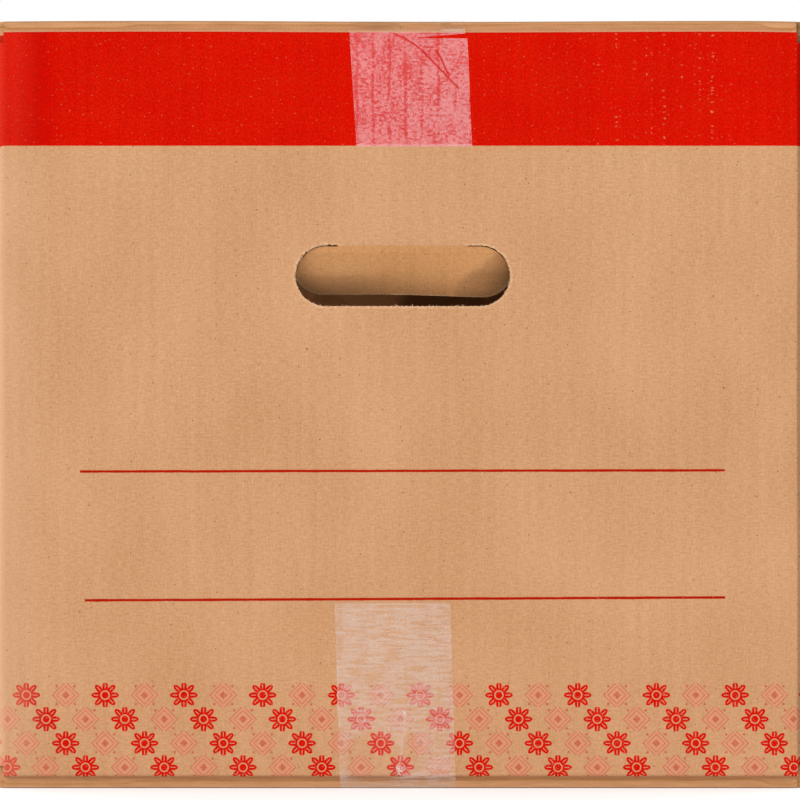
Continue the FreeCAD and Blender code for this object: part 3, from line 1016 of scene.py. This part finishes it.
def cut_edge(name, dark, light):
    """The raw edge of the board, rough, with a greyer liner above and a pinker, paler one below, which
    is partly a painted highlight along the fold under it.
    """
    paint = Paint(name)
    x, y, z = paint.place()
    u, v = paint.sheet()
    fuzz = paint.noise(x + y, z, 0.7, 0.4, detail=2, roughness=0.7)
    cloud = paint.noise(x + y * 0.7, z, 14, 1.4, detail=2, seed=2.0)
    colour = paint.mixed((fuzz * 0.45 + cloud * 0.55).rising(0.32, 0.68), dark, light)
    past_fold = HALF_LENGTH - FLAP_END
    upper = v.within(OUTER_TOP + past_fold - 0.36, OUTER_TOP + past_fold + 0.2, 0.05)
    lower = v.within(OUTER_TOP - BOARD + past_fold - 0.2, OUTER_TOP - BOARD + past_fold + 0.36, 0.05)
    colour = paint.mixed(upper * 0.7, colour, EDGE_GREY)
    # the lower liner's line is partly a painted highlight along the fold below it
    colour = paint.mixed(lower * 0.8, colour, EDGE_PINK_HIGHLIGHT)
    # glue that soaked in under the tape
    height = OUTER_TOP - BOARD / 2 + past_fold
    soaked = spot(u, v, (-11, height + 0.3), 11, 1.9, 0.5)
    soaked = soaked.most(spot(u, v, (19.6, height + 0.4), 2.4, 1.1, 0.5))
    colour = paint.mixed(soaked * cloud.rising(0.3, 0.55, 0.25, 0.75), colour, EDGE_GREASY)
    # the ends of the front slots: crushed under the printed liner on the left, and darkened with painted
    # shade in the slot on the right
    at_front = y.below(-HALF_LENGTH + 9, 0.5)
    crushed = at_front * x.below(-170.5, 0.3) * z.within(INNER_TOP - 9, INNER_TOP - 1.2, 0.4)
    colour = paint.mixed(crushed * 0.95, colour, INK_THIN)
    right_corner_shade = at_front * x.rising(170.6, 171.6) * z.within(INNER_TOP - 6, OUTER_TOP + 1, 0.3)
    colour = paint.brightened(colour, 1.0 - right_corner_shade * 0.4)
    paint.bump(fuzz, EDGE_RELIEF)
    return paint.finish(colour, EDGE_ROUGHNESS, BOARD_GLOSS)


def torn_paper():
    """Torn fibres of the liner."""
    paint = Paint("kraft_board_torn")
    x, _, z = paint.place()
    colour = paint.mixed(paint.noise(x, z, 1.5, detail=2).rising(0.35, 0.6), TORN_TAN, TORN_PALE)
    return paint.finish(colour, EDGE_ROUGHNESS, BOARD_GLOSS)


def near_line(u, v, points):
    """How far the point is from a line through these points."""
    nearest = None
    for (u0, v0), (u1, v1) in zip(points, points[1:]):
        run_u, run_v = u1 - u0, v1 - v0
        length = run_u * run_u + run_v * run_v
        along = ((u - u0) * (run_u / length) + (v - v0) * (run_v / length)).most(0.0).least(1.0)
        off_u, off_v = u - u0 - along * run_u, v - v0 - along * run_v
        away = (off_u * off_u + off_v * off_v).math("SQRT")
        nearest = away if nearest is None else nearest.least(away)
    return nearest


def spot(u, v, middle, half_u, half_v, soft=0.35):
    """1 inside an oval, 0 outside it."""
    off_u, off_v = (u - middle[0]) / half_u, (v - middle[1]) / half_v
    return (off_u * off_u + off_v * off_v).below(1.0, soft)


def tape_film(on_top):
    """Clear film over its glue, which is cloudy where it lies unevenly and clear on the flutes."""
    paint = Paint("tape_film_top" if on_top else "tape_film_bottom")
    u, v = paint.sheet()
    on_front = v.within(-1.0, INNER_TOP, 0.3)
    # the flutes run upright in the front panel, and across the tape on the flaps
    swerve = (paint.noise(u, v, 60, 9, seed=5.0) - 0.5) * 1.6
    flute = crests(u + swerve) * on_front + crests(v, 0.0) * (1 - on_front)
    cloud = paint.noise(u, v, 9, 11, detail=2, seed=3.0)
    pressed = flute.rising(0.6, 1.0) * paint.noise(u, v, 6, 26, seed=4.0).rising(0.36, 0.56)
    if on_top:
        fine = paint.noise(u, v, 0.8, 0.7, roughness=0.7, seed=2.0)
        blots = paint.noise(u, v, 2.2, 1.15, detail=3, roughness=0.75, seed=1.0)
        paler = spot(u, v, (24, 300), 14, 26, 0.6).most(spot(u, v, (14, 283), 12, 8, 0.5))
        level = blots * 0.75 + 0.125 + (cloud - 0.5) * 0.30 + (fine - 0.5) * 0.3
        level = level - pressed * 0.12 + paler * 0.045
        haze = level.rising(0.36, 0.64, 0.055, 0.25)
        end_line = v.below(TOP_TAPE_END, 0.2) * on_front
        torn_lip = spot(u, v, (23.5, 328.1), 6.5, 1.0)
        haze = haze + end_line * 0.12 + torn_lip * 0.45
        for points in TOP_CREASES:
            haze = haze * (1 - near_line(u, v, points).below(0.4, 0.3) * 0.85)
        bridging = v.within(INNER_TOP + 1.2, OUTER_TOP + 3.2, 0.3)
        haze = haze * (1 - bridging * (1 - torn_lip) * 0.85)
        tint, edge_tint = FILM_OVER_INK, FILM_OVER_EDGE
    else:
        strokes = paint.noise(u, v, 9, 1.3, detail=2, seed=1.0, distortion=0.15)
        worn = v.rising(20, 60)
        level = strokes + (cloud - 0.5) * 0.45 - pressed * 0.08 + worn * 0.05
        haze = level.rising(0.28, 0.76, 0.06, 0.235)
        loose = spot(u, v, (-12, 12), 13, 12, 0.5).most(spot(u, v, (4, 16), 3.5, 9, 0.5) * 0.8)
        haze = haze * (1 - loose * 0.85)
        haze = haze + near_line(u, v, BOTTOM_CREASES[0]).below(0.3, 0.25) * 0.10
        # painted highlights: two small glints where the film catches the light, drawn as thicker haze
        painted_glints = spot(u, v, (1.9, 32.5), 0.7, 1.2).most(spot(u, v, (-0.4, 8.0), 1.5, 2.0))
        haze = haze + painted_glints * paint.noise(u, v, 0.7, detail=2, seed=9.0).rising(0.4, 0.6) * 0.5
        tint = edge_tint = FILM_OVER_BOARD
    alpha = haze.most(0.02).least(0.9)
    # the haze is painted with the light scattered up from what lies beneath it: over the front panel,
    # then over the flaps' cut edge, then over the flaps
    past_front = v.rising(INNER_TOP - 0.2, INNER_TOP + 0.6)
    colour = paint.mixed(past_front, tint, edge_tint)
    past_edge = v.rising(OUTER_TOP + 3, OUTER_TOP + 5)
    colour = paint.mixed(past_edge, colour, FILM_OVER_BOARD)
    return paint.finish(colour, FILM_ROUGHNESS, FILM_GLOSS, alpha)


# The stage

def stage():
    """A pale floor, a white room's light and a soft light from the upper left."""
    bpy.ops.mesh.primitive_grid_add(
        x_subdivisions=8, y_subdivisions=8, size=40, location=(0, 0, -0.0002),
    )
    floor = bpy.context.object
    floor.name = "floor"
    paint = Paint("floor_paper")
    x, y, _ = paint.place()
    cloud = paint.noise(x, y, 300, detail=2)
    floor.data.materials.append(paint.finish(paint.mixed(cloud, FLOOR_DIM, FLOOR_PALE), 0.9, 0.1))
    world = bpy.data.worlds.new("room")
    world.use_nodes = True
    world.node_tree.nodes["Background"].inputs["Color"].default_value = (1, 1, 1, 1)
    world.node_tree.nodes["Background"].inputs["Strength"].default_value = 1.0
    bpy.context.scene.world = world
    light = bpy.data.lights.new("soft_key", "SUN")
    light.energy = 2.0
    light.angle = math.radians(35)
    lamp = bpy.data.objects.new("soft_key", light)
    lamp.rotation_euler = Vector((1.0, 1.0, -0.8)).to_track_quat("-Z", "Y").to_euler()
    bpy.context.scene.collection.objects.link(lamp)


def inner_lights():
    """Weak light inside the carton, for the daylight that gets in. Its back is lit more on one side."""
    for kind, energy, x, y in (("SPOT", 0.12, -75, 120), ("POINT", 0.064, 0, 60)):
        light = bpy.data.lights.new("inner_light", kind)
        light.energy = energy
        light.color = (1.0, 0.84, 0.68)
        light.shadow_soft_size = 0.004
        if kind == "SPOT":
            light.spot_size = math.radians(56)
            light.spot_blend = 0.08
        lamp = bpy.data.objects.new("inner_light", light)
        lamp.location = (x * MM, y * MM, 222 * MM)
        lamp.rotation_euler = (math.radians(90), 0, 0)
        lamp.visible_camera = False
        bpy.context.scene.collection.objects.link(lamp)


def camera():
    """Straight at the front panel. 800 pixels take in 345.4 mm of it."""
    distance = 2000.0
    seen = 345.4
    data = bpy.data.cameras.new("camera")
    data.sensor_width = 36
    data.lens = data.sensor_width * distance / seen
    data.clip_start = 0.05
    data.clip_end = 60
    eye = bpy.data.objects.new("camera", data)
    eye.location = (-0.2 * MM, (-HALF_LENGTH - distance) * MM, 167.6 * MM)
    eye.rotation_euler = (math.radians(90), 0, 0)
    bpy.context.scene.collection.objects.link(eye)
    bpy.context.scene.camera = eye


def ridden(piece, slot, *nodes):
    """Fixes a piece to the part's one body, in place of these CAD nodes."""
    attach(piece, "root")
    if nodes:
        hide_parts(*nodes)


def main():
    edge = cut_edge("kraft_board_edge", EDGE_SHADE, EDGE_TAN)
    # the medium is darker than the liners, partly as painted shade of the hollows beside it
    medium = cut_edge("kraft_board_medium", MEDIUM_AMBER_SHADED, MEDIUM_TAN_SHADED)
    board = [outside_board(), inside_board(), edge, tab_board(), medium]
    ridden(finished(carton(), "corrugated_carton", board), "kraft_board", "carton")
    for node, creases in (("top_tape", TOP_CREASES), ("bottom_tape", BOTTOM_CREASES)):
        film = finished(tape(node, creases), node + "_film", [tape_film(node == "top_tape")])
        ridden(film, "clear_tape", node)
        film.visible_shadow = False
    draw = random.Random(7)
    torn = torn_paper()
    for side, name in ((-1, "front_rim_fibres"), (1, "back_rim_fibres")):
        ridden(finished(fibres(side, 120, draw), name, [torn]), "kraft_board")
    stage()
    inner_lights()
    camera()
    bpy.context.scene.view_settings.view_transform = "Standard"


main()
